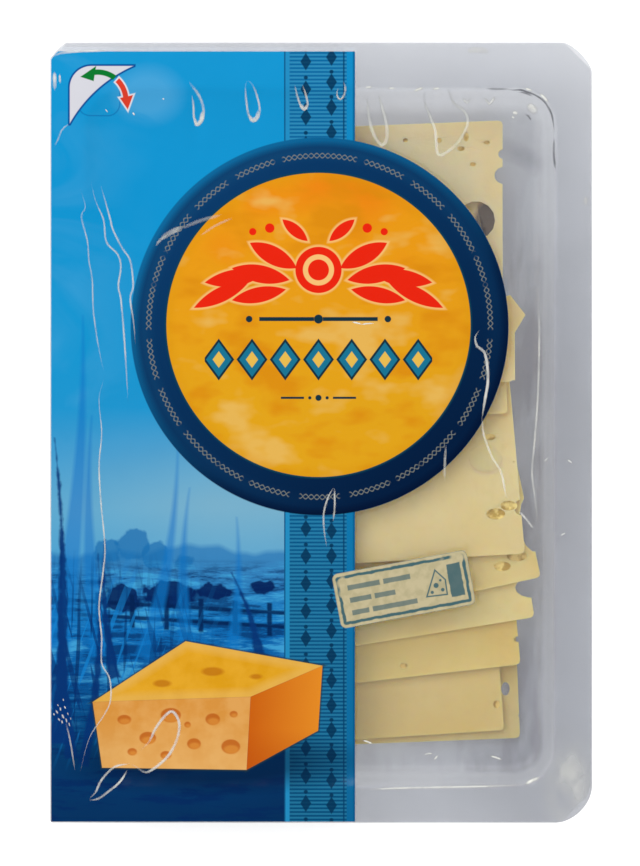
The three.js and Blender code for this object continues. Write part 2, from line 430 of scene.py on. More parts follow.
def print_area(paint, x, y):
    """Where the film is printed and can't be seen through."""
    block = (BAND_RIGHT - x).least(PRINT_TOP - y)
    label = disc(paint, x, y, LABEL_CENTRE, LABEL_RADIUS)
    across, up = turned(x, y, STAMP["centre"], STAMP["turn"])
    stamp = rounded_box(paint, across, up, STAMP["half"], STAMP["corner"])
    return block.most(label, stamp)


def landscape(paint, point, x, y):
    """The blue panel: a hazy sky over a meadow, with tall grass in front."""
    height = y.between(PACK["bottom"], PACK["top"])
    wisps = paint.noise(point, 34, detail=4, distortion=0.6, stretch=(1, 1.6, 1), seed=3.0)
    colour = paint.ramp(height + (wisps - 0.5) * 0.05, SKY)
    cloud = wisps.between(0.42, 0.62) * x.between(-46, -70) * y.between(-20, 10) * 0.16
    milky = ellipse(paint, x, y, (-48, 93.5), (8.5, 7)).inside(5) * wisps.between(0.36, 0.5) * 0.34
    colour = paint.over(colour, ink(110, 184, 228), cloud.most(milky))
    haze = x.between(-100, -30) * (14 - abs(y + 20)).between(-13, 13)
    colour = paint.over(colour, ink(126, 180, 206), haze * 0.88)
    # Hills and round trees in the haze
    rolling = paint.noise(point, 22, detail=2, stretch=(1, 0, 0), seed=8.0)
    hills = (rolling * 14 - 39.5 - y).inside(1.6) * (y + 48).inside(6)
    colour = paint.over(colour, ink(30, 118, 184), hills * 0.75)
    crowns = paint.noise(point, 3.5, detail=2, seed=14.0)
    for spot, size in TREES:
        crown = disc(paint, x, y, spot, size) + (crowns - 0.5) * 3
        colour = paint.over(colour, ink(20, 112, 178), crown.inside(0.8) * 0.8)
    # The meadow's streaks, with a dark hedge and a fence across it
    streaks = paint.noise(point, 8, detail=5, roughness=0.7, stretch=(0.3, 1.9, 1), seed=5.0)
    meadow = (-37 - y).inside(4)
    colour = paint.over(colour, ink(0, 40, 98), streaks.between(0.51, 0.6) * meadow * 0.72)
    lights = streaks.between(0.48, 0.37) * meadow * (y + 74).inside(20)
    colour = paint.over(colour, ink(64, 168, 222), lights * 0.85)
    for spot, radii in BUSHES:
        bush = ellipse(paint, x, y, spot, radii) + (crowns - 0.5) * 3.4
        colour = paint.over(colour, ink(1, 34, 92), bush.inside(0.6) * 0.95)
    rail = (0.55 - abs(abs(y + 0.06 * x + 52.5) - 1.9)).inside(0.5)
    post = (0.7 - abs((x / 9.5).fraction() - 0.5) * 9.5).inside(0.5)
    post = post * (4.6 - abs(y + 0.06 * x + 52.6)).inside(0.5)
    fence = rail.most(post) * (x + 66).inside(6)
    colour = paint.over(colour, ink(0, 34, 84), fence * 0.9)
    colour = tall_grass(paint, colour, point, x, y)
    # The ground darkens towards the lower right
    dusk = (x - y * 0.9).between(50, 105)
    return paint.over(colour, ink(1, 42, 86), dusk * 0.6)


# Each blade of tall grass: its root, the angle it leans at, its length, its width at the root and its bow
SOFT_GRASS = [
    ((-73, -60), 80, 92, 3.4, 9), ((-61, -62), 99, 66, 2.8, -8), ((-49, -62), 72, 58, 2.4, 9),
    ((-37, -60), 97, 44, 2.2, -6), ((-25, -62), 80, 38, 2.0, 5),
]
DARK_GRASS = [
    ((-73, -86), 85, 84, 2.0, 8), ((-69, -90), 98, 66, 1.7, -7), ((-66, -92), 77, 58, 1.5, 9),
    ((-57, -68), 103, 38, 1.5, -6), ((-17, -62), 99, 24, 1.4, 4),
]


def tall_grass(paint, colour, point, x, y):
    """Upright blades of grass at the left of the panel."""
    for root, turn, length, width, bow in SOFT_GRASS:
        mask = blade(x, y, root, turn, length, width, bow).inside(1.2)
        colour = paint.over(colour, ink(2, 118, 198), mask * 0.62)
    # Thin stems and leaves, as streaks that lean one way or the other
    near_left = (-38 - x).between(-14, 22) * (-38 - y).between(-6, 14) * (y + 94).between(0, 20)
    streaks = ((70, 21.0, ink(12, 130, 208)), (88, 22.0, ink(0, 38, 96)), (104, 23.0, ink(0, 48, 112)))
    for turn, seed, shade in streaks:
        along, across = turned(x, y, (0, 0), turn)
        stems = paint.noise(paint.flat(along * 0.03, across * 0.62), 1, detail=1, seed=seed)
        colour = paint.over(colour, shade, stems.between(0.6, 0.64) * near_left * 0.7)
    rough = paint.noise(point, 3, detail=3, seed=2.0)
    for root, turn, length, width, bow in DARK_GRASS:
        edge = blade(x, y, root, turn, length, width, bow) + (rough - 0.5) * 1.3
        colour = paint.over(colour, ink(1, 52, 118), edge.inside(0.7) * 0.92)
    return colour


def ruled_band(paint, x, y):
    """The ruler along the panel: fine lines across, a plain bright edge and two columns of small marks."""
    rule = (0.27 - abs((y / 1.05).fraction() - 0.5)) / 0.27
    shade = y.between(-108, 100)
    ground = paint.over(ink(2, 74, 118), ink(5, 102, 158), shade)
    light = paint.over(ink(34, 128, 168), ink(48, 150, 196), shade)
    colour = paint.over(ground, light, rule.inside(0.9) * 0.74)
    for column, start, pitch in ((-4.2, 0.0, 7.6), (2.9, 3.1, 6.9)):
        along = ((y + start) / pitch).fraction() * pitch
        diamond = 1.5 - abs(x - column) - abs(along - pitch / 2) * 0.62
        dot = disc(paint, x - column, along, (0.0, pitch - 0.6), 0.55)
        colour = paint.over(colour, ink(2, 52, 88), diamond.most(dot).inside(0.25) * 0.9)
    inner = (x - BAND_RIGHT + 2.3).inside(0.2)
    stripe = paint.over(ink(6, 104, 156), ink(8, 140, 200), shade)
    colour = paint.over(colour, stripe, inner)
    colour = paint.over(colour, ink(3, 88, 136), (x - BAND_RIGHT + 0.6).inside(0.25) * 0.7)
    lines = (0.2 - abs(abs(x + 0.4 - (-1.6)) - 8.3)).inside(0.15)
    colour = paint.over(colour, ink(2, 66, 108), lines * 0.9)
    colour = paint.over(colour, ink(30, 142, 196), (BAND_LEFT + 1.5 - x).inside(0.2))
    return paint.over(colour, ink(3, 62, 110), (BAND_LEFT + 0.35 - x).inside(0.2) * 0.8)


# The garland's leaves, right of the middle: where each starts and ends, and how full it is
LEAVES = [
    ((6, 45.5), (19, 52.5), 0.34), ((8, 42.2), (24, 45.5), 0.3), ((15, 44), (31.5, 41.5), 0.28),
    ((19, 42), (34.5, 34.5), 0.24), ((9, 39.6), (24, 36.6), 0.28), ((3, 53), (10, 59), 0.34),
]


def ornament(paint, colour, x, y):
    """The two motifs in the label's middle: a red garland, and a row of blue-green lozenges."""
    red = ink(238, 34, 4)
    light = ink(250, 196, 120)
    side = abs(x - FACE_CENTRE[0])
    flower = disc(paint, side, y, (0, 45), 6.4)
    shapes = union([leaf(paint, side, y, *row) for row in LEAVES] + [flower])
    colour = paint.over(colour, light, (shapes + 0.55).inside(0.5) * 0.85)
    colour = paint.over(colour, red, shapes.inside())
    colour = paint.over(colour, light, disc(paint, side, y, (0, 45), 4.3).inside())
    colour = paint.over(colour, red, disc(paint, side, y, (0, 45), 2.9).inside())
    berries = disc(paint, side, y, (13.5, 56.6), 1.3).most(disc(paint, side, y, (18.2, 55.6), 1.0))
    colour = paint.over(colour, red, berries.inside())
    # The lozenges stand side by side, every second one smaller
    dark = ink(20, 52, 66)
    teal = ink(22, 118, 150)
    step = 9.2
    place = (x - FACE_CENTRE[0]) / step + 0.5
    off = abs(place.fraction() - 0.5) * step
    row = (31.5 - side).inside(0.1)
    lozenge = 4.3 - off - abs(y - 20.2) * 0.74
    colour = paint.over(colour, dark, lozenge.inside() * row)
    colour = paint.over(colour, teal, (lozenge - 0.75).inside() * row)
    colour = paint.over(colour, ink(236, 190, 80), (lozenge - 2.6).inside() * row)
    # A rule over the lozenges and a shorter one under them, each with two sizes of dot
    for level, middle, half, dots in (
        (31.4, 8.8, (7.6, 0.55), ((0, 1.25), (19.2, 0.9))),
        (9.6, 7.2, (3.2, 0.3), ((0, 0.85), (2.4, 0.45))),
    ):
        rule = [box(side, y, (middle, level), half)]
        rule += [disc(paint, side, y, (place, level), size) for place, size in dots]
        colour = paint.over(colour, dark, union(rule).inside())
    return colour


def label_ring(paint, x, y):
    """The plain dark ring of the round label."""
    dx = x - LABEL_CENTRE[0]
    dy = y - LABEL_CENTRE[1]
    radius = from_point(paint, x, y, LABEL_CENTRE)
    lit = (dy - dx * 0.8).between(-60, 60)
    colour = paint.over(ink(1, 30, 66), ink(4, 58, 106), lit)
    rim = radius.between(49.6, 51.6) * lit.between(0.3, 1.0)
    colour = paint.over(colour, ink(6, 112, 166), rim * 0.75)
    lip = (radius - 46.9).inside(3.4) * (49.8 - radius).inside(3.0)
    colour = paint.over(colour, ink(16, 76, 120), lip * lit * 0.5)
    dusk = radius.between(49.8, 52.3) * (1 - lit).between(0.35, 0.9)
    return paint.over(colour, ink(1, 12, 44), dusk * 0.75)


def label_design(paint, point, x, y):
    """The round label: the ring with a fine rope line on it, round a cloudy yellow face."""
    colour = label_ring(paint, x, y)
    radius = from_point(paint, x, y, LABEL_CENTRE)
    angle = paint.math("ARCTAN2", y - LABEL_CENTRE[1], x - LABEL_CENTRE[0])
    gold = ink(136, 140, 132)
    gaps = ((angle * 23).sine() + (angle * 41).sine() * 0.8).between(-1.2, -0.7)
    for phase in (0.0, math.pi):
        wave = (angle * 96 + phase).sine() * 0.62
        line = (0.16 - abs(radius - 47.3 - wave)).inside(0.18)
        colour = paint.over(colour, gold, line * gaps * 0.72)
    face = disc(paint, x, y, FACE_CENTRE, FACE_RADIUS)
    colour = paint.over(colour, ink(10, 66, 84), (face + 0.45).inside(0.5))
    clouds = paint.noise(point, 20, detail=3, roughness=0.55, stretch=(0.8, 1.5, 1), seed=4.0)
    wide = paint.noise(point, 48, detail=2, seed=9.0)
    upper = y.between(8, 52)
    field = paint.over(ink(230, 166, 18), ink(238, 152, 10), upper * 0.8)
    field = paint.over(field, ink(240, 132, 6), wide.between(0.5, 0.64) * upper)
    field = paint.over(field, ink(236, 190, 98), clouds.between(0.54, 0.68) * 0.72)
    field = paint.over(field, ink(222, 138, 1), clouds.between(0.48, 0.34) * 0.75)
    edge = (3.2 - face).between(0, 3.2)
    field = paint.over(field, ink(222, 150, 4), edge * 0.5)
    field = ornament(paint, field, x, y)
    return paint.over(colour, field, face.inside())


# The printed wedge: its corners, the part of the print that holds it, and its eyes' middles and half sizes
WEDGE = {
    "tip": (-63.2, -74.6), "back": (-37.5, -57.8), "right": (0.4, -64.6), "middle": (-19.5, -73.2),
    "tip_foot": (-60.6, -92.8), "middle_foot": (-20.6, -93.4), "right_foot": (-0.8, -82.6),
}
WEDGE_PART = {"left": -64.5, "right": 2.0, "bottom": -95.0, "top": -56.0}
WEDGE_EYES = [
    ((-54.5, -79.5), (1.9, 1.3)), ((-48.0, -84.6), (2.3, 1.7)), ((-41.6, -78.3), (2.8, 2.0)),
    ((-35.2, -86.2), (1.9, 1.5)), ((-30.0, -79.4), (2.0, 1.6)), ((-25.0, -87.0), (2.6, 2.0)),
    ((-43.0, -89.3), (1.5, 1.1)), ((-52.3, -88.4), (1.3, 1.0)), ((-24.2, -78.0), (1.1, 0.9)),
    ((-37.0, -80.9), (0.9, 0.8)),
]
WEDGE_DENTS = [((-44, -69.5), (2.4, 1.0)), ((-30, -66.2), (3.0, 1.2)), ((-18, -67.6), (1.6, 0.7))]


def wedge_picture(paint, colour, point, x, y):
    """A printed wedge of holed cheese on the panel and the band."""
    w = WEDGE
    mottle = paint.noise(point, 6, detail=4, seed=1.0)
    top = polygon(x, y, [w["tip"], w["middle"], w["right"], w["back"]])
    front = polygon(x, y, [w["tip"], w["tip_foot"], w["middle_foot"], w["middle"]])
    rind = polygon(x, y, [w["middle"], w["middle_foot"], w["right_foot"], w["right"]])
    outline = top.most(front, rind)
    colour = paint.over(colour, ink(36, 60, 66), (outline + 0.4).inside(0.4) * 0.75)
    gold = paint.over(ink(228, 162, 18), ink(236, 172, 38), mottle.between(0.35, 0.65))
    gold = paint.over(gold, ink(240, 196, 110), (2.0 - top).inside(2.0) * 0.4)
    colour = paint.over(colour, gold, top.inside())
    cut = paint.over(ink(224, 152, 64), ink(232, 168, 88), mottle.between(0.35, 0.65))
    cut = paint.over(cut, ink(236, 188, 116), y.between(-78, -94) * 0.5)
    for centre, radii in WEDGE_EYES:
        hole = ellipse(paint, x, y, centre, radii)
        cut = paint.over(cut, ink(196, 100, 22), hole.inside(0.35) * 0.9)
        low = (centre[0] + 0.2, centre[1] - radii[1] * 0.4)
        lower = ellipse(paint, x, y, low, (radii[0] * 0.8, radii[1] * 0.6))
        cut = paint.over(cut, ink(226, 146, 56), lower.inside(0.6) * 0.7)
    colour = paint.over(colour, cut, front.inside())
    wax = paint.over(ink(206, 92, 4), ink(238, 146, 34), x.between(-22, 2))
    wax = paint.over(wax, ink(190, 78, 8), y.between(-82, -94) * 0.6)
    colour = paint.over(colour, wax, rind.inside())
    # The same eyes, seen as shallow dents on the top
    for centre, radii in WEDGE_DENTS:
        dent = ellipse(paint, x, y, centre, radii).inside(0.5)
        colour = paint.over(colour, ink(196, 116, 8), dent * 0.8)
    return colour


# The stamp's bars: the height of each over its middle, and its two ends
STAMP_BARS = [
    (3.2, -15.2, -6.2), (3.2, -5.2, 2.4), (-0.3, -15.2, -9.2), (-0.3, -8.2, -2.4), (-3.8, -15.2, -10.4),
    (-3.8, -9.4, 3.2),
]


def stamp_mark(paint, colour, point, x, y):
    """The stamp over the window: a worn pale slip with a broken border, plain bars and a small wedge."""
    across, up = turned(x, y, STAMP["centre"], STAMP["turn"])
    wear = paint.noise(point, 2.6, detail=3, seed=6.0)
    ragged = (wear - 0.5) * 1.2
    slip = rounded_box(paint, across, up, STAMP["half"], STAMP["corner"])
    paper = paint.over(ink(204, 191, 152), ink(190, 179, 140), wear.between(0.4, 0.65))
    colour = paint.over(colour, paper, slip.inside(0.3))
    teal = ink(24, 92, 108)
    border = (0.42 - abs(slip - 1.25 + ragged * 0.5)).inside(0.25)
    gaps = paint.noise(point, 7, detail=1, seed=16.0).between(0.36, 0.42)
    colour = paint.over(colour, teal, border * gaps * 0.9)
    bars = union(
        box(across, up, ((left + right) / 2, row), ((right - left) / 2, 0.7))
        for row, left, right in STAMP_BARS
    )
    colour = paint.over(colour, teal, (bars + ragged * 0.15).inside(0.2) * 0.68)
    block = box(across, up, (14.6, 0.0), (1.9, 4.6))
    colour = paint.over(colour, teal, (block + ragged * 0.4).inside(0.25) * 0.85)
    slice_mark = polygon(across, up, [(5.6, -3.4), (11.8, -3.8), (12.0, 0.6), (9.4, 4.0)])
    colour = paint.over(colour, teal, slice_mark.inside(0.2) * 0.85)
    colour = paint.over(colour, paper, (slice_mark - 0.4).inside(0.2) * 0.9)
    for spot, size in (((9.0, -0.6), 0.7), ((10.6, -2.1), 0.5), ((7.6, -2.3), 0.45), ((10.4, 0.6), 0.35)):
        colour = paint.over(colour, teal, disc(paint, across, up, spot, size).inside(0.2) * 0.85)
    return colour


def peel_mark(paint, colour, x, y):
    """The peel mark: a white corner that folds back, a green arrow along it and a red one away from it."""
    corner = (-69.5, 101.4)
    right = -51.8
    foot = 85.4
    round_off = 6.0
    quad = box(x, y, ((corner[0] + right) / 2, (corner[1] + foot) / 2),
               ((right - corner[0]) / 2, (corner[1] - foot) / 2))
    bend = disc(paint, x, y, (corner[0] + round_off, corner[1] - round_off), round_off)
    in_corner = (corner[0] + round_off - x).least(y - (corner[1] - round_off)).inside(0.1)
    shape = paint.math("MINIMUM", quad, bend * in_corner + (1 - in_corner) * 9)
    fold = from_point(paint, x, y, (-36.8, 67.0)) - 37.6
    colour = paint.over(colour, ink(4, 78, 150), (shape + 0.5).inside(0.3) * (fold + 0.5).inside(0.3))
    flap = rounded_box(paint, x + 61.5, y - 93.5, (5.8, 5.8), 3.4)
    colour = paint.over(colour, ink(2, 96, 166), (0.16 - abs(flap)).inside(0.25) * (-fold).inside(0.4) * 0.6)
    colour = paint.over(colour, ink(216, 216, 224), shape.inside(0.2) * fold.inside(0.2))
    # Both arrows bend round one centre
    hub = (-61.8, 91.9)
    radius = from_point(paint, x, y, hub)
    angle = paint.math("ARCTAN2", y - hub[1], x - hub[0])
    bow = 0.75 - abs(radius - 7.8)
    green = bow.least((angle - 0.92) * 8, (1.82 - angle) * 8)
    green_head = polygon(x, y, [(-66.6, 98.4), (-62.9, 97.2), (-62.2, 101.4)])
    red = bow.least((0.8 - angle) * 8, (angle - 0.1) * 8)
    red_head = polygon(x, y, [(-55.7, 92.6), (-53.5, 89.4), (-52.0, 93.4)])
    red_arrow = red.most(red_head)
    halo = (red_arrow + 0.4).inside(0.3) * (0.95 - angle).inside(0.2)
    colour = paint.over(colour, ink(226, 228, 234), halo)
    colour = paint.over(colour, ink(6, 122, 46), green.most(green_head).inside(0.2))
    return paint.over(colour, ink(222, 62, 40), red_arrow.inside(0.2))


def ground_design(paint, flat, x, y):
    """The panel and the band, with the shadow that lies under the wedge."""
    colour = paint.over(landscape(paint, flat, x, y), ruled_band(paint, x, y), (x - BAND_LEFT).inside())
    shadow = ellipse(paint, x, y, (-31, -91), (36, 7.5)).inside(5)
    return paint.over(colour, ink(0, 26, 60), shadow * 0.7)


def wedge_design(paint, flat, x, y):
    """What is printed around the wedge."""
    return wedge_picture(paint, ground_design(paint, flat, x, y), flat, x, y)


def panel_design(paint, flat, x, y):
    """What is printed anywhere else, with the edge of the label's ring."""
    colour = peel_mark(paint, ground_design(paint, flat, x, y), x, y)
    ring = disc(paint, x, y, LABEL_CENTRE, LABEL_RADIUS).inside(0.3)
    colour = paint.over(colour, label_ring(paint, x, y), ring)
    return stamp_mark(paint, colour, flat, x, y)


def film_ripple(paint, flat):
    return paint.bump(paint.noise(flat, 16, detail=2, seed=7.0), 0.5)


def printed_face(name, design):
    """The film's upper face where this design is printed all over."""
    paint = Paint(name)
    x, y = paint.place()[1:]
    flat = paint.flat(x, y)
    colour = design(paint, flat, x, y)
    return paint.finish(paint.principled(
        Base_Color=colour, Roughness=0.15, Normal=film_ripple(paint, flat), Specular_IOR_Level=0.4,
    ))


def print_edge(printed_material):
    """The film's upper face along the edges of the print."""
    paint, shader = Paint.again("edge of the print", printed_material)
    x, y = paint.place()[1:]
    printed = print_area(paint, x, y).inside()
    return paint.finish(paint.see_through(CLEAR_FILM, shader, 0.06 + printed * 0.94))


def on_flange(paint, x, y):
    """1 on the flange and 0 over the pocket."""
    middle = (POCKET["bottom"] + POCKET["top"]) / 2
    half = ((POCKET["right"] - POCKET["left"]) / 2, (POCKET["top"] - POCKET["bottom"]) / 2)
    return (-rounded_box(paint, x, y - middle, half, POCKET_RADIUS)).inside(1.0)


def clear_face():
    """The film's upper face where nothing is printed."""
    paint = Paint("clear film")
    x, y = paint.place()[1:]
    flat = paint.flat(x, y)
    normal = film_ripple(paint, flat)
    gloss = paint.facing(normal) ** 5
    haze = paint.noise(flat, 40, seed=12.0).between(0.3, 0.7)
    flange = on_flange(paint, x, y)
    # A milky patch in the lower right corner, and a painted highlight in the pocket's upper right corner
    milky = ellipse(paint, x, y, (68.5, -97), (5.5, 11)).inside(7)
    milky = milky.most(ellipse(paint, x, y, (57, 87.5), (5, 5)).inside(7) * 0.4)
    milky = milky * paint.noise(flat, 9, detail=2, seed=18.0).between(0.2, 0.6)
    tone = paint.over(ink(206, 210, 220), ink(150, 154, 163), flange)
    tone = paint.over(tone, ink(226, 226, 220), milky)
    shader = paint.principled(Base_Color=tone, Roughness=0.13, Normal=normal)
    share = 0.055 + haze * 0.03 + flange * 0.08 + milky * 0.36 + gloss * 0.5
    return paint.finish(paint.see_through(CLEAR_FILM, shader, share))


def back_of_print():
    """The back of the print, a pale grey, which shows through the tray."""
    paint = Paint("back of the print")
    x, y = paint.place()[1:]
    printed = print_area(paint, x, y).inside()
    mottle = paint.noise(paint.flat(x, y), 30, detail=2)
    back = paint.over(ink(176, 186, 196), ink(196, 202, 208), mottle.between(0.35, 0.65))
    shader = paint.principled(Base_Color=back, Roughness=0.2 + mottle * 0.1)
    return paint.finish(paint.see_through(CLEAR_FILM, shader, 0.03 + printed * 0.97))


def clear_back():
    """The clear film's lower face."""
    paint = Paint("clear film, lower face")
    x, y = paint.place()[1:]
    sheen = 0.12 + paint.noise(paint.flat(x, y), 30, detail=0) * 0.06
    shader = paint.principled(Base_Color=ink(214, 218, 226), Roughness=sheen)
    return paint.finish(paint.see_through(CLEAR_FILM, shader, 0.03))


def clear_plastic():
    """The tray: clear and glossy, with a grey haze that deepens where a wall is seen along its height, and
    painted shade towards the right, the bottom and beside the slices.
    """
    paint = Paint("clear tray")
    x, y = paint.place()[1:]
    drawn = paint.noise(paint.flat(x, y), 22, detail=1, seed=1.0)
    normal = paint.bump(drawn, 0.35)
    flange = on_flange(paint, x, y)
    # Painted shade: darker and hazier towards the right and the bottom, standing in for the light falling off
    # there
    dim = (x.between(10, 60) * y.between(104, 30)).most(y.between(-50, -105) * 0.5)
    wall = (1 - abs(paint.upright())).between(0.3, 0.9)
    # Painted shadow: a soft dark patch beside the slices; and mottling where the plastic was drawn down
    along, across = turned(x, y, (57.0, 77.0), -28)
    painted_shadow = (1 - paint.vector("LENGTH", paint.flat(along / 11, across / 4.5), output=1)).between(0.0, 0.8)
    patchy = paint.noise(paint.flat(x * 0.16, y * 0.045), 1, detail=2, seed=27.0).between(0.36, 0.62)
    shadow_and_mottle = (painted_shadow * 0.12).most(patchy * dim * 0.1) * (1 - flange)
    flat_share = 0.17 + dim * (0.19 - flange * 0.04) + flange * 0.07 + shadow_and_mottle
    share = flat_share * (1 - wall) + wall * 0.15 + paint.facing(normal) ** 3 * (0.12 + dim * 0.28)
    tone = paint.over(ink(134, 138, 148), ink(152, 156, 166), drawn.between(0.35, 0.65))
    tone = paint.over(tone, ink(138, 133, 146), patchy * dim * (1 - flange) * 0.7)
    tone = paint.over(tone, ink(126, 130, 139), wall)
    shader = paint.principled(Base_Color=tone, Roughness=0.1, Normal=normal)
    return paint.finish(paint.see_through(CLEAR_TRAY, shader, share))


def cheese(number, tone):
    """Pale young cheese: a faint mottle, tiny pits with painted shade in them, and a deeper yellow where it
    is cut or has an eye, painted as a glow of light through the cheese.
    """
    paint = Paint(f"cheese {number}")
    point, x, y = paint.place()
    seed = float(number)
    broad = paint.noise(point, 26, seed=seed, solid=True)
    fine = paint.noise(point, 3.2, detail=3, roughness=0.6, seed=seed + 20, solid=True)
    red, green, blue = tone
    light = (red * 1.03, green * 1.03, blue * 1.08, 1.0)
    warm = (red * 0.98, green * 0.95, blue * 0.84, 1.0)
    colour = paint.over(light, warm, broad.between(0.36, 0.66))
    colour = paint.over(colour, tuple(c * 0.9 for c in warm[:3]) + (1.0,), fine.between(0.5, 0.75) * 0.4)
    # Painted glow: faces that turn sideways, where the slice is cut or has an eye, go a deeper yellow,
    # standing in for light through the cheese
    side = (1 - abs(paint.upright())).between(0.15, 0.8)
    colour = paint.over(colour, (0.84, 0.56, 0.12, 1.0), side * 0.8)
    # Tiny pits, each with painted shade darkening it
    cells = paint.node("ShaderNodeTexVoronoi", {}, {"Vector": point, "Scale": 0.11, "Randomness": 1.0})
    pit = cells.between(0.035, 0.02)
    colour = paint.over(colour, (0.42, 0.28, 0.07, 1.0), pit * 0.5)
    relief = fine * 0.5 + broad - pit * 0.6
    normal = paint.bump(relief, 0.18)
    # Painted shade: a dark patch under the top slice's big eye, standing in for the shadowed tray floor seen
    # through it
    if number in UNDER_BIG_EYE:
        deep = ellipse(paint, x, y, *BIG_EYE).inside(1.2)
        colour = paint.over(colour, (0.20, 0.165, 0.14, 1.0), deep * 0.92)
    shader = paint.principled(
        Base_Color=colour, Roughness=0.42 + fine * 0.18, Normal=normal, Specular_IOR_Level=0.3,
        Subsurface_Weight=0.8, Subsurface_Radius=(1.0, 0.7, 0.25), Subsurface_Scale=0.004,
    )
    return paint.finish(shader)


def eye_wall():
    """The shiny golden hollow of a shallow eye, in painted light: the gold is lightened against the hollow's
    shade, and its bright streaks are painted highlights.
    """
    paint = Paint("eye in the cheese")
    point = paint.place()[0]
    streak = paint.noise(point, 2.4, detail=2, solid=True)
    # Painted highlights: bright streaks over a gold lightened against the hollow's shade
    colour = paint.over((0.58, 0.39, 0.05, 1.0), (1.0, 0.82, 0.26, 1.0), streak.between(0.40, 0.54))
    return paint.finish(paint.principled(Base_Color=colour, Roughness=0.3))


def painted_line_plastic(name, tone, most):
    """A painted highlight or painted dark line on the film, along a fold or the pocket's rim, that thins out
    at its edges.
    """
    paint = Paint(name)
    x, y = paint.place()[1:]
    broken = paint.noise(paint.flat(x, y), 5, detail=3, seed=11.0)
    softness = paint.node("ShaderNodeAttribute", {"attribute_name": "softness"}, {}, 2)
    shader = paint.principled(Base_Color=tone, Roughness=0.2 + broken * 0.2)
    share = softness * (0.5 + broken.between(0.35, 0.62) * 0.5) * most
    return paint.finish(paint.see_through((1.0, 1.0, 1.0, 1.0), shader, share))


def pale_floor():
    """White paper, a little lit from below."""
    paint = Paint("pale floor")
    point = paint.place()[0]
    grain = paint.noise(point, 60)
    colour = paint.over((0.9, 0.9, 0.9, 1.0), (0.93, 0.93, 0.93, 1.0), grain)
    return paint.finish(paint.principled(
        Base_Color=colour, Roughness=0.9, Emission_Color=(1.0, 1.0, 1.0, 1.0), Emission_Strength=0.42,
    ))


# The film's shape

def pocket_inset(x, y):
    """How far inside the pocket's rim a point is, and negative on the flange."""
    half_x = (POCKET["right"] - POCKET["left"]) / 2 - POCKET_RADIUS
    half_y = (POCKET["top"] - POCKET["bottom"]) / 2 - POCKET_RADIUS
    qx = np.abs(x - (POCKET["right"] + POCKET["left"]) / 2) - half_x
    qy = np.abs(y - (POCKET["top"] + POCKET["bottom"]) / 2) - half_y
    outside = np.hypot(np.maximum(qx, 0), np.maximum(qy, 0)) + np.minimum(np.maximum(qx, qy), 0)
    return POCKET_RADIUS - outside


# Where the film is pulled into the pocket along its rim: centre, half width, half length and depth
PULLS = [
    (-34.2, 88.5, 2.2, 6.5, 0.5), (-18.5, 91.5, 2.0, 6.0, 0.45), (-5.5, 93.0, 2.0, 4.5, 0.4),
    (6.5, 94.0, 1.8, 3.5, 0.4), (15.5, 91.0, 2.6, 6.0, 0.5), (27.0, 90.0, 4.0, 7.0, 0.6),
    (40.5, 92.0, 2.4, 4.0, 0.4), (48.0, 92.5, 2.2, 3.5, 0.4), (60.0, 80.0, 3.0, 6.0, 0.4),
    (56.0, -92.0, 4.0, 4.0, 0.5), (30.0, -93.0, 5.0, 3.5, 0.4), (5.0, -94.0, 4.0, 3.5, 0.4),
]


def film_height(x, y):
    """The film's upper face in millimetres: flat on the flange, hanging a little and wavy over the pocket."""
    inset = np.maximum(pocket_inset(x, y), 0)
    ends = np.clip((np.abs(y) - SAG_START) / (SAG_FULL - SAG_START), 0, 1)
    ends = ends * ends * (3 - 2 * ends)
    hanging = 1 - np.exp(-inset / SAG_REACH)
    sag = (SAG_MIDDLE + (SAG_ENDS - SAG_MIDDLE) * ends) * hanging
    wave = np.sin(x / 7.3 + y / 19.0) + np.sin(y / 8.9 - x / 23.0) + np.sin((x + y) / 12.7)
    height = FILM_TOP - sag - 0.035 * (wave + 3) * hanging
    for px, py, wide, tall, deep in PULLS:
        height = height - deep * np.exp(-((x - px) / wide) ** 2 - ((y - py) / tall) ** 2) * (inset > 0)
    return height


def lid_film():
    """The film as one fine sheet, trimmed to the flange's outline, draped and given its thickness."""
    width = PACK["right"] - PACK["left"]
    length = PACK["top"] - PACK["bottom"]
    sheet = added(bpy.ops.mesh.primitive_grid_add, x_subdivisions=round(width / FILM_CELL),
                  y_subdivisions=round(length / FILM_CELL), size=1)
    sheet.name = "lidding_film"
    sheet.scale = ((width - 2 * FILM_INSET) * MM, (length - 2 * FILM_INSET) * MM, 1)
    settled()
    trim_corners(sheet, FILM_INSET)
    count = len(sheet.data.vertices)
    places = np.empty(count * 3)
    sheet.data.vertices.foreach_get("co", places)
    places = places.reshape(-1, 3)
    places[:, 2] = film_height(places[:, 0] / MM, places[:, 1] / MM) * MM
    sheet.data.vertices.foreach_set("co", places.ravel())
    finished(sheet, "SOLIDIFY", thickness=FILM_THICKNESS * MM, offset=-1)
    smooth(sheet, 40)
    panel = printed_face("printed panel", panel_design)
    finishes = {
        "panel": panel,
        "label": printed_face("printed label", label_design),
        "wedge": printed_face("printed wedge", wedge_design),
        "edge": print_edge(panel),
        "clear": clear_face(),
        "back of the print": back_of_print(),
        "clear back": clear_back(),
    }
    dressed(sheet, list(finishes.values()), "printed_film", "lid_film")
    order = list(finishes)
    for face in sheet.data.polygons:
        face.material_index = order.index(finish_at(face))
    return sheet


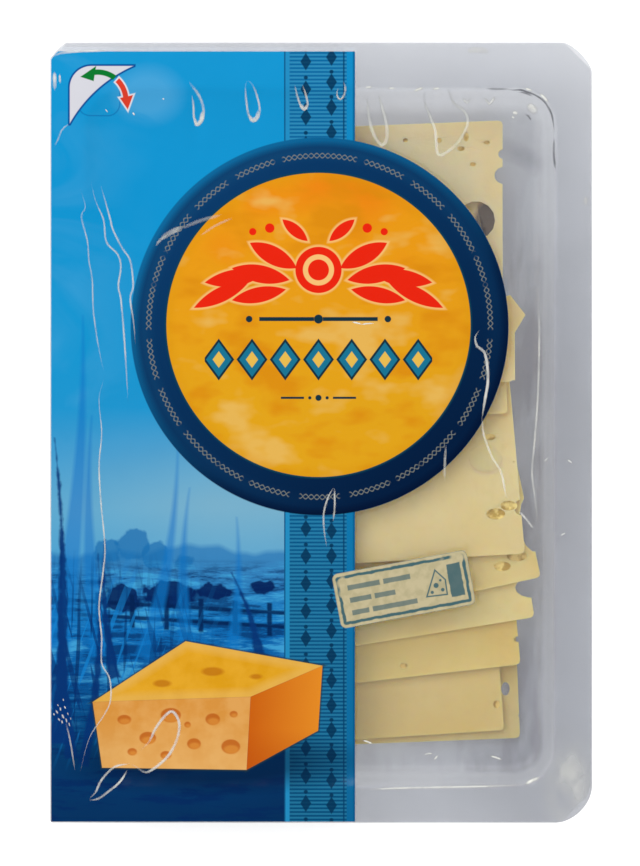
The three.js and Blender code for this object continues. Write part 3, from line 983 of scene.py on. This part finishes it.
def finish_at(face):
    """Which of its finishes a face of the film has."""
    x, y = face.center.x / MM, face.center.y / MM
    depth = depth_in_print(x, y)
    if face.normal.z < -0.5:
        return "back of the print" if depth > -FILM_CELL else "clear back"
    if depth <= FILM_CELL:
        return "edge" if depth > -FILM_CELL else "clear"
    if LABEL_RADIUS - math.dist((x, y), LABEL_CENTRE) > FILM_CELL:
        return "label"
    part = WEDGE_PART
    by_wedge = part["left"] < x < part["right"] and part["bottom"] < y < part["top"]
    return "wedge" if by_wedge else "panel"


def depth_in_print(x, y):
    """How far inside the printed area a point of the film is, in millimetres, and negative outside it."""
    block = min(BAND_RIGHT - x, PRINT_TOP - y)
    label = LABEL_RADIUS - math.dist((x, y), LABEL_CENTRE)
    across, up = turned(x, y, STAMP["centre"], STAMP["turn"])
    stamp = min(STAMP["half"][0] - abs(across), STAMP["half"][1] - abs(up))
    return max(block, label, stamp)


def corner_points(inset):
    """Each corner's outline, as the points where its rounding is cut by straight lines."""
    corners = []
    for name, (radius, squareness) in PACK_CORNERS.items():
        side_x = 1 if name.endswith("right") else -1
        side_y = 1 if name.startswith("top") else -1
        edge_x = PACK["right" if side_x > 0 else "left"] - side_x * inset
        edge_y = PACK["top" if side_y > 0 else "bottom"] - side_y * inset
        points = []
        for k in range(7):
            angle = k / 6 * math.pi / 2
            reach_x = math.cos(angle) ** (2 / squareness) if k < 6 else 0.0
            reach_y = math.sin(angle) ** (2 / squareness) if k > 0 else 0.0
            points.append((
                edge_x - side_x * radius * (1 - reach_x),
                edge_y - side_y * radius * (1 - reach_y),
            ))
        corners.append((side_x, side_y, points))
    return corners


def trim_corners(sheet, inset):
    """Cuts the sheet's corners off along their outlines."""
    alone(sheet)
    bpy.ops.object.mode_set(mode="EDIT")
    bpy.ops.mesh.select_mode(type="FACE")
    for side_x, side_y, points in corner_points(inset):
        for (ax, ay), (bx, by) in zip(points, points[1:]):
            normal = (abs(by - ay) * side_x, abs(bx - ax) * side_y, 0)
            bpy.ops.mesh.select_all(action="SELECT")
            bpy.ops.mesh.bisect(plane_co=(ax * MM, ay * MM, 0), plane_no=normal, clear_outer=True)
    closed(sheet)


# The tray

def plate(name, sides, height, corners):
    """A flat face with these corners, each a radius and how square it is."""
    face = added(bpy.ops.mesh.primitive_plane_add, size=1)
    face.name = name
    face.scale = ((sides["right"] - sides["left"]) * MM, (sides["top"] - sides["bottom"]) * MM, 1)
    middle = ((sides["right"] + sides["left"]) / 2, (sides["top"] + sides["bottom"]) / 2)
    face.location = (middle[0] * MM, middle[1] * MM, height * MM)
    settled()
    for corner, (radius, squareness) in corners.items():
        place_x = sides["right" if corner.endswith("right") else "left"] * MM
        place_y = sides["top" if corner.startswith("top") else "bottom"] * MM
        pick(face, "VERT", lambda place: math.hypot(place.x - place_x, place.y - place_y) < 0.1 * MM)
        profile = 0.25 ** (1 / squareness)
        bpy.ops.mesh.bevel(offset=radius * MM, segments=14, profile=profile, affect="VERTICES")
        closed(face)
    return face


def pocket_steps():
    """The steps inwards and down that draw the pocket from its rim to its floor."""
    section = [(0.0, 0.0)]
    for angle in np.linspace(0, math.pi / 2, 6)[1:]:
        section.append((RIM_ROUND * math.sin(angle), RIM_ROUND * (1 - math.cos(angle))))
    depth = FLANGE_TOP - WALL
    foot = RIM_ROUND + WALL_RUN
    for angle in np.linspace(0, math.pi / 2, 8):
        inwards = foot + FLOOR_ROUND * (1 - math.cos(angle))
        section.append((inwards, depth - FLOOR_ROUND * (1 - math.sin(angle))))
    return [(b[0] - a[0], b[1] - a[1]) for a, b in zip(section, section[1:])]


def tray():
    flange = plate("thermoformed_tray", PACK, FLANGE_TOP, PACK_CORNERS)
    corners = {name: (POCKET_RADIUS, 2.0) for name in PACK_CORNERS}
    pocket = plate("pocket", POCKET, FLANGE_TOP, corners)
    pick(pocket, "FACE", lambda place: True)
    for inwards, down in pocket_steps():
        bpy.ops.mesh.inset(thickness=inwards * MM, depth=-down * MM)
    closed(pocket)
    pick(flange, "FACE", lambda place: True)
    bpy.ops.mesh.delete(type="ONLY_FACE")
    closed(flange)
    alone(flange)
    pocket.select_set(True)
    bpy.ops.object.join()
    pick(flange, "FACE", lambda place: False)
    bpy.ops.mesh.select_mode(type="EDGE")
    bpy.ops.mesh.select_non_manifold(use_wire=True, use_boundary=True, use_multi_face=False,
                                     use_non_contiguous=False, use_verts=False)
    bpy.ops.mesh.fill(use_beauty=True)
    bpy.ops.mesh.select_all(action="SELECT")
    bpy.ops.mesh.normals_make_consistent(inside=False)
    closed(flange)
    up = max(flange.data.polygons, key=lambda face: face.area).normal.z
    if up < 0:
        pick(flange, "FACE", lambda place: True)
        bpy.ops.mesh.flip_normals()
        closed(flange)
    finished(flange, "SOLIDIFY", thickness=WALL * MM, offset=-1, use_even_offset=True)
    smooth(flange, 40)
    return dressed(flange, [clear_plastic()], "clear_tray", "tray")


# The slices

# Each slice's colour, from the lowest to the top one; the fourth is painted lighter to make up for the
# stamp's shadow over it
TONES = [
    (0.71, 0.56, 0.245), (0.78, 0.565, 0.215), (0.84, 0.60, 0.205), (0.92, 0.66, 0.27), (0.87, 0.635, 0.26),
    (0.88, 0.65, 0.305), (0.86, 0.64, 0.30), (0.86, 0.65, 0.32), (0.835, 0.665, 0.385),
]

# Eyes that don't go through the slice: each slice's number, then their middles and half sizes
SHALLOW_EYES = {
    2: [(49, -75.8, 0.9, 1.1)],
    3: [(23, -65, 1.1, 0.8)],
    5: [(54.4, -34.3, 2.9, 1.5), (50.4, -37.2, 2.4, 1.3)],
    6: [(47, -1.2, 1.5, 0.9), (48.5, -22.6, 2.7, 1.6), (52, -20.3, 2.3, 1.4)],
    9: [(23.5, 81.4, 0.7, 0.6), (32.9, 81.4, 0.8, 0.7), (40.4, 82.4, 0.8, 1.3), (39, 79.1, 1.1, 0.7),
        (46.2, 80.8, 0.9, 0.6), (42.3, 74.7, 0.9, 0.6)],
}
EYE_DEPTH = 0.8
EYE_OVERLAP = 0.25
DISH_HEIGHT = 0.5

# The top slice's big eye, with the slices under it that get painted shade there
BIG_EYE = ((46.6, 57.8), (3.9, 7.0))
UNDER_BIG_EYE = (7, 8)


def eye_floor(piece, hollow, x, y, half_x, half_y):
    """A small dish that closes an eye a little below the slice's upper face."""
    reach = max(half_x, half_y) + 0.6
    around = [v.co.z for v in piece.data.vertices if math.hypot(v.co.x / MM - x, v.co.y / MM - y) < reach]
    top = max(around) / MM if around else 0
    place = (x * MM, y * MM, (top - EYE_DEPTH - DISH_HEIGHT / 2) * MM)
    dish = added(bpy.ops.mesh.primitive_cylinder_add, vertices=18, radius=1, depth=DISH_HEIGHT * MM,
                 location=place)
    dish.scale = ((half_x + EYE_OVERLAP) * MM, (half_y + EYE_OVERLAP) * MM, 1)
    settled()
    pick(dish, "FACE", lambda place: place.z > (top - EYE_DEPTH - 0.05) * MM)
    bpy.ops.mesh.inset(thickness=min(half_x, half_y) * 0.45 * MM, depth=-0.2 * MM)
    closed(dish)
    dish.data.materials.append(hollow)
    return dish


def cheese_slice(number):
    """A slice with its edges softened, its bends made smooth and its shallow eyes closed."""
    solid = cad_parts[f"slice_{number}"]
    piece = bpy.data.objects.new(f"cheese_slice_{number}", solid.data.copy())
    bpy.context.scene.collection.objects.link(piece)
    piece.matrix_world = solid.matrix_world
    pick(piece, "VERT", lambda place: True)
    bpy.ops.mesh.remove_doubles(threshold=0.004 * MM)
    closed(piece)
    finish = cheese(number, TONES[number - 1])
    hollow = eye_wall() if number in SHALLOW_EYES else finish
    piece.data.materials.clear()
    piece.data.materials.append(finish)
    dishes = [eye_floor(piece, hollow, *eye) for eye in SHALLOW_EYES.get(number, [])]
    finished(piece, "BEVEL", width=0.22 * MM, segments=2, limit_method="ANGLE",
             angle_limit=math.radians(42))
    alone(piece)
    for dish in dishes:
        dish.select_set(True)
    bpy.ops.object.join()
    smooth(piece, 32)
    finished(piece, "WEIGHTED_NORMAL", keep_sharp=True)
    return dressed(piece, list(piece.data.materials), "cheese", f"slice_{number}")


# Folds in the film, drawn as painted highlights: the points each runs through in millimetres, its width and
# how strongly it shows
FOLD_HIGHLIGHTS = [
    ([(60.0, 41.9), (60.4, 26.2), (60.0, 9.8), (59.1, -2.4), (58.4, -11.2), (59.3, -18.7), (59.7, -24.5),
      (57.8, -27.0)], 0.75, 0.45),
    ([(44.0, 28.4), (42.7, 26.5), (43.2, 23.9), (45.1, 22.4), (46.0, 18.7), (46.2, 14.2), (45.5, 9.7),
      (44.5, 3.7)], 1.0, 0.8),
    ([(44.5, 4.5), (45.1, -0.7), (47.3, -6.7), (49.9, -11.2), (51.4, -18.7)], 0.8, 0.6),
    ([(54.8, -21.7), (57.0, -24.2), (58.9, -26.9)], 0.8, 0.6),
    ([(34.6, -3.3), (34.3, -8.2), (34.2, -13.4)], 0.9, 0.35),
    ([(-59.8, 15.6), (-61.4, 9.4), (-60.7, -0.1), (-61.4, -8.9), (-60.9, -19.3), (-59.8, -31.5),
      (-60.3, -38.5), (-61.4, -48.1), (-60.7, -56.8), (-60.7, -63.8), (-58.5, -68.2), (-58.3, -74.3),
      (-60.3, -78.6), (-63.3, -83.0), (-65.0, -87.3), (-66.8, -94.7)], 0.6, 0.7),
    ([(-50.2, -88.2), (-47.6, -85.6), (-45.9, -82.1), (-43.3, -78.6), (-41.1, -77.3), (-39.3, -80.4),
      (-39.8, -84.7), (-42.0, -89.1), (-45.0, -92.1), (-48.5, -94.1), (-51.1, -92.6), (-52.8, -91.7)],
     1.0, 0.65),
    ([(-52.8, -91.7), (-57.2, -92.6), (-60.7, -96.1), (-62.4, -99.6), (-64.2, -101.3)], 0.8, 0.75),
    ([(-53.6, -93.4), (-55.5, -96.5), (-58.5, -99.1), (-61.6, -101.3), (-64.2, -101.7)], 0.8, 0.75),
    ([(-70.6, -80.1), (-69.5, -84.8), (-68.6, -90.1), (-68.1, -93.4)], 0.6, 0.6),
    ([(3.7, -15.0), (2.1, -17.6), (0.8, -22.0), (0.8, -26.3), (1.5, -31.5)], 0.7, 0.55),
    ([(3.7, -15.4), (3.8, -20.2), (3.4, -24.6)], 0.7, 0.55),
    ([(12.8, 92.6), (13.2, 88.4), (14.0, 84.4), (15.2, 81.4), (16.9, 79.6), (18.2, 81.2), (18.2, 84.6),
      (17.2, 89.2), (15.9, 93.6)], 1.3, 0.45),
    ([(28.6, 94.2), (28.8, 91.2), (30.2, 87.6), (31.6, 83.8), (32.0, 79.6), (32.4, 77.2), (33.8, 77.0),
      (36.9, 79.3), (39.5, 82.7), (40.7, 86.4), (39.6, 89.0), (36.6, 91.4), (35.2, 95.0)], 1.1, 0.42),
    ([(45.2, 93.0), (46.6, 91.0), (48.2, 93.0)], 0.9, 0.6),
    ([(39.3, 92.6), (40.4, 91.3), (41.5, 92.6)], 0.9, 0.45),
    ([(-36.7, 97.3), (-35.4, 95.6), (-33.6, 92.9), (-32.6, 89.9), (-32.7, 86.8), (-33.8, 84.9)], 1.0, 0.45),
    ([(-33.2, 85.6), (-34.4, 85.0), (-35.2, 87.2), (-35.3, 90.3), (-35.7, 93.4)], 0.8, 0.6),
    ([(-32.9, 89.0), (-33.2, 86.4), (-34.5, 85.4), (-35.0, 87.4)], 1.5, 0.75),
    ([(-20.5, 97.3), (-19.5, 96.9), (-18.1, 94.3), (-17.0, 89.9), (-17.4, 87.2), (-18.8, 86.1), (-20.1, 88.1),
      (-20.7, 92.1), (-20.9, 95.6), (-20.5, 97.3)], 0.8, 0.5),
    ([(-17.3, 89.4), (-17.8, 87.2), (-19.2, 86.6), (-19.8, 88.0)], 1.5, 0.7),
    ([(-7.3, 96.4), (-6.5, 92.9), (-5.5, 90.3), (-4.6, 89.3), (-3.7, 90.7), (-4.3, 93.8), (-5.2, 96.4)],
     0.8, 0.55),
    ([(-6.0, 91.2), (-4.7, 89.6), (-3.8, 90.8)], 1.3, 0.65),
    ([(4.8, 95.6), (4.4, 93.4), (5.3, 92.2), (6.4, 93.4), (6.7, 95.6), (6.1, 97.1)], 0.7, 0.65),
    ([(-63.7, 69.3), (-62.4, 64.1), (-60.2, 58.9), (-59.4, 52.8), (-56.3, 49.3), (-55.4, 45.8), (-56.1, 40.5),
      (-55.4, 37.0), (-54.6, 28.0), (-54.0, 19.0), (-53.4, 8.0)], 0.7, 0.5),
    ([(-61.1, 68.9), (-58.5, 59.7), (-57.6, 56.2), (-55.0, 51.0), (-52.8, 47.5), (-52.0, 40.5),
      (-52.8, 37.0), (-51.8, 30.0), (-51.4, 24.0)], 0.7, 0.5),
    ([(-66.8, 68.0), (-65.2, 62.4), (-66.3, 59.7), (-64.6, 52.8), (-64.2, 47.5), (-63.3, 42.3),
      (-63.0, 34.0), (-61.8, 25.0), (-60.2, 17.0)], 0.6, 0.4),
    ([(10.0, -98.9), (21.9, -98.4), (35.7, -98.1), (49.5, -97.8), (57.0, -97.4)], 0.7, 0.7),
    ([(-69.8, 85.4), (-71.7, 83.7), (-72.8, 81.0), (-73.9, 79.0)], 0.6, 0.6),
    ([(-74.4, 103.7), (-72.2, 104.9), (-66.7, 105.4), (-59.0, 105.6)], 0.8, 0.8),
]

# Broad soft marks: where the film is scuffed or goes milky, and painted glare where light catches it beside
# the label and in the pocket's upper right corner
SCUFFS_AND_GLARE = [
    ([(-44.6, 53.3), (-41.6, 55.4), (-38.2, 56.9)], 1.8, 0.4),
    ([(-38.8, 56.4), (-33.5, 58.6), (-27.4, 60.3)], 1.3, 0.26),
    ([(-33.5, 54.4), (-29.0, 57.4), (-24.4, 59.4)], 0.9, 0.2),
    ([(-45.8, 51.6), (-44.4, 53.4), (-42.6, 54.6)], 1.0, 0.5),
    ([(57.0, 90.8), (58.4, 89.8), (59.8, 88.3)], 2.4, 0.55),
    ([(40.1, 105.4), (43.5, 105.9), (46.5, 105.2)], 2.0, 0.4),
    ([(73.2, 65.5), (73.2, 62.7)], 1.4, 0.45),
]

# Short bright glints: where each starts and ends, and its width
GLINTS = [
    (12.2, 95.4, 14.2, 95.6, 0.5), (18.6, 95.2, 20.6, 95.1, 0.5), (25.6, 94.4, 28.4, 95.4, 0.6),
    (30.8, 94.9, 32.9, 95.2, 0.6), (53.0, 88.6, 54.6, 88.2, 0.9), (52.8, 87.4, 53.6, 87.0, 0.5),
    (-73.7, 99.9, -73.7, 94.6, 1.1), (-72.3, 99.2, -72.2, 96.5, 0.6), (8.5, 30.6, 11.3, 29.9, 0.45),
    (11.0, 29.9, 14.8, 30.2, 0.45), (61.6, -8.2, 63.0, -6.9, 0.35), (68.1, -7.5, 69.6, -8.6, 0.4),
    (66.2, -28.6, 67.8, -27.8, 0.35), (56.3, -97.4, 60.6, -95.4, 0.9), (28.3, -89.2, 31.0, -88.9, 0.35),
    (31.3, -90.7, 32.4, -89.5, 0.4), (46.6, -89.5, 50.3, -90.7, 0.5), (11.4, -85.2, 14.4, -86.3, 0.5),
    (-43.9, 92.4, -43.4, 92.1, 0.4), (-59.8, 89.5, -59.0, 88.6, 0.3), (-52.2, 88.6, -51.6, 87.8, 0.5),
    (-73.4, -76.8, -72.8, -77.9, 0.4), (-72.2, -76.0, -72.0, -77.1, 0.4), (-71.7, -77.9, -71.1, -79.3, 0.5),
    (-70.6, -79.0, -70.3, -80.4, 0.4), (-72.8, -79.0, -72.2, -79.9, 0.4), (-71.1, -75.7, -70.6, -76.5, 0.3),
    (56.4, 95.2, 58.4, 94.5, 0.5), (60.4, 93.9, 63.0, 91.3, 0.7), (-74.0, -77.6, -73.8, -78.4, 0.3),
    (-73.0, -75.2, -72.6, -75.8, 0.3), (-71.8, -79.6, -71.5, -80.6, 0.4), (-70.2, -77.4, -69.9, -78.4, 0.3),
    (-69.8, -80.2, -69.5, -81.4, 0.4), (-69.4, -78.8, -69.2, -79.6, 0.3), (-71.4, -73.6, -71.2, -74.4, 0.3),
]

# Painted shade: the thin dark line that the pocket's rim shows, laid as a dark strip on the film
RIM_SHADE_LINES = [
    ([(45.7, 95.2), (48.6, 95.0), (52.0, 95.1)], 0.5, 0.25),
    ([(51.2, 95.0), (53.2, 94.7), (55.2, 94.8), (57.0, 94.2), (59.2, 93.4), (61.7, 91.6), (63.5, 88.8),
      (64.2, 86.2), (64.5, 83.4)], 0.5, 0.5),
    ([(54.6, 94.3), (56.8, 93.8), (58.6, 92.9)], 0.4, 0.35),
    ([(64.5, 81.4), (64.4, 78.2), (64.5, 75.4), (64.9, 72.6)], 0.55, 0.55),
    ([(56.4, 88.2), (57.6, 87.4), (58.2, 86.2)], 0.5, 0.3),
]


def ribbon(points, width, strength):
    """A soft strip on the film along these points: a grid that follows the line, raised in the middle."""
    path = smooth_path(points)
    steps = len(path) - 1
    strip = added(bpy.ops.mesh.primitive_grid_add, x_subdivisions=steps, y_subdivisions=4, size=1)
    ahead = np.gradient(path, axis=0)
    ahead /= np.maximum(np.hypot(ahead[:, 0], ahead[:, 1]), 1e-9)[:, None]
    softness = strip.data.attributes.new("softness", "FLOAT", "POINT")
    for vertex in strip.data.vertices:
        row = round((vertex.co.x + 0.5) * steps)
        side = vertex.co.y * 2
        share = row / steps
        taper = min(1.0, 6 * share * (1 - share))
        half = width / 2 * (0.35 + 0.65 * taper)
        x = path[row, 0] - ahead[row, 1] * half * side
        y = path[row, 1] + ahead[row, 0] * half * side
        bulge = (1 - side * side) * min(0.1, width * 0.1)
        low = float(film_height(x, y))
        vertex.co = (x * MM, y * MM, min(low + 0.02 + bulge, PACK_TOP) * MM)
        softness.data[vertex.index].value = strength * taper * (1 - side * side)
    finished(strip, "SOLIDIFY", thickness=0.06 * MM, offset=-1)
    return strip


def smooth_path(points, step=1.0):
    """Points about a millimetre apart on a smooth curve through these."""
    spots = np.array(points, dtype=float)
    spots = np.vstack([2 * spots[0] - spots[1], spots, 2 * spots[-1] - spots[-2]])
    path = []
    for before, here, there, after in zip(spots, spots[1:], spots[2:], spots[3:]):
        count = max(2, round(math.dist(here, there) / step))
        for k in range(count):
            t = k / count
            path.append(0.5 * (2 * here + (there - before) * t
                               + (2 * before - 5 * here + 4 * there - after) * t * t
                               + (3 * here - before - 3 * there + after) * t ** 3))
    path.append(spots[-2])
    return np.array(path)


def joined(strips, name, material):
    bpy.ops.object.select_all(action="DESELECT")
    for strip in strips:
        strip.select_set(True)
    bpy.context.view_layer.objects.active = strips[0]
    bpy.ops.object.join()
    piece = bpy.context.object
    piece.name = name
    settled()
    smooth(piece, 60)
    return dressed(piece, [material], "printed_film")


def film_highlights_and_scuffs():
    """The painted highlights of the film's folds, its scuffs with painted glare and its painted glints in one
    piece, and the rim's painted dark line in another.
    """
    pale = [ribbon(points, width, strength * 0.75) for points, width, strength in FOLD_HIGHLIGHTS + SCUFFS_AND_GLARE]
    for ax, ay, bx, by, width in GLINTS:
        middle = ((ax + bx) / 2, (ay + by) / 2 + 0.1)
        pale.append(ribbon([(ax, ay), middle, (bx, by)], width * 1.2, 0.9))
    joined(pale, "film_highlights_and_scuffs", painted_line_plastic("painted fold highlight", ink(255, 255, 248), 1.0))
    dark = [ribbon(points, width * 1.3, strength) for points, width, strength in RIM_SHADE_LINES]
    joined(dark, "rim_shade_line", painted_line_plastic("painted dark rim line", ink(92, 94, 104), 1.0))


# The studio

SENSOR = 36.0
SKY_STRENGTH = 0.9
FLOOR_SIZE = 6.0
FLOOR_DROP = 0.05
# Each lamp's direction from the pack, its distance and size in metres and its power in watts
LAMPS = {
    "key": ((-0.62, 0.5, 0.8), 0.95, 0.8, 3.8),
    "back": ((0.1, 1.0, 0.75), 1.4, 0.5, 2.0),
}


def camera():
    data = bpy.data.cameras.new("camera")
    data.sensor_fit = "VERTICAL"
    data.sensor_height = SENSOR
    data.lens = SENSOR * CAMERA_HEIGHT / (FRAME_HEIGHT * MM_PER_PIXEL)
    data.clip_start = 0.01
    data.clip_end = 20
    seen_from = bpy.data.objects.new("camera", data)
    seen_from.location = (FRAME_CENTRE[0] * MM, FRAME_CENTRE[1] * MM, (CAMERA_HEIGHT + FLANGE_TOP) * MM)
    bpy.context.scene.collection.objects.link(seen_from)
    bpy.context.scene.camera = seen_from


def lamp(name, direction, distance, size, power):
    """A square soft lamp that looks at the pack from this direction."""
    data = bpy.data.lights.new(name, "AREA")
    data.shape = "SQUARE"
    data.size = size
    data.energy = power
    light = bpy.data.objects.new(name, data)
    length = math.sqrt(sum(v * v for v in direction))
    light.location = [v / length * distance for v in direction]
    heading = -light.location.normalized()
    light.rotation_mode = "QUATERNION"
    light.rotation_quaternion = heading.to_track_quat("-Z", "Y")
    bpy.context.scene.collection.objects.link(light)


def studio():
    world = bpy.data.worlds.new("studio")
    world.use_nodes = True
    background = world.node_tree.nodes["Background"]
    background.inputs["Color"].default_value = (1.0, 1.0, 1.0, 1.0)
    background.inputs["Strength"].default_value = SKY_STRENGTH
    bpy.context.scene.world = world
    world.cycles_visibility.glossy = False
    for name, row in LAMPS.items():
        lamp(name, *row)
    floor = added(bpy.ops.mesh.primitive_plane_add, size=FLOOR_SIZE)
    floor.name = "floor"
    floor.location.z = -FLOOR_DROP * MM
    floor.data.materials.append(pale_floor())
    bpy.context.scene.view_settings.view_transform = "Standard"


camera()
studio()
tray()
for number in range(1, SLICES + 1):
    cheese_slice(number)
lid_film()
film_highlights_and_scuffs()
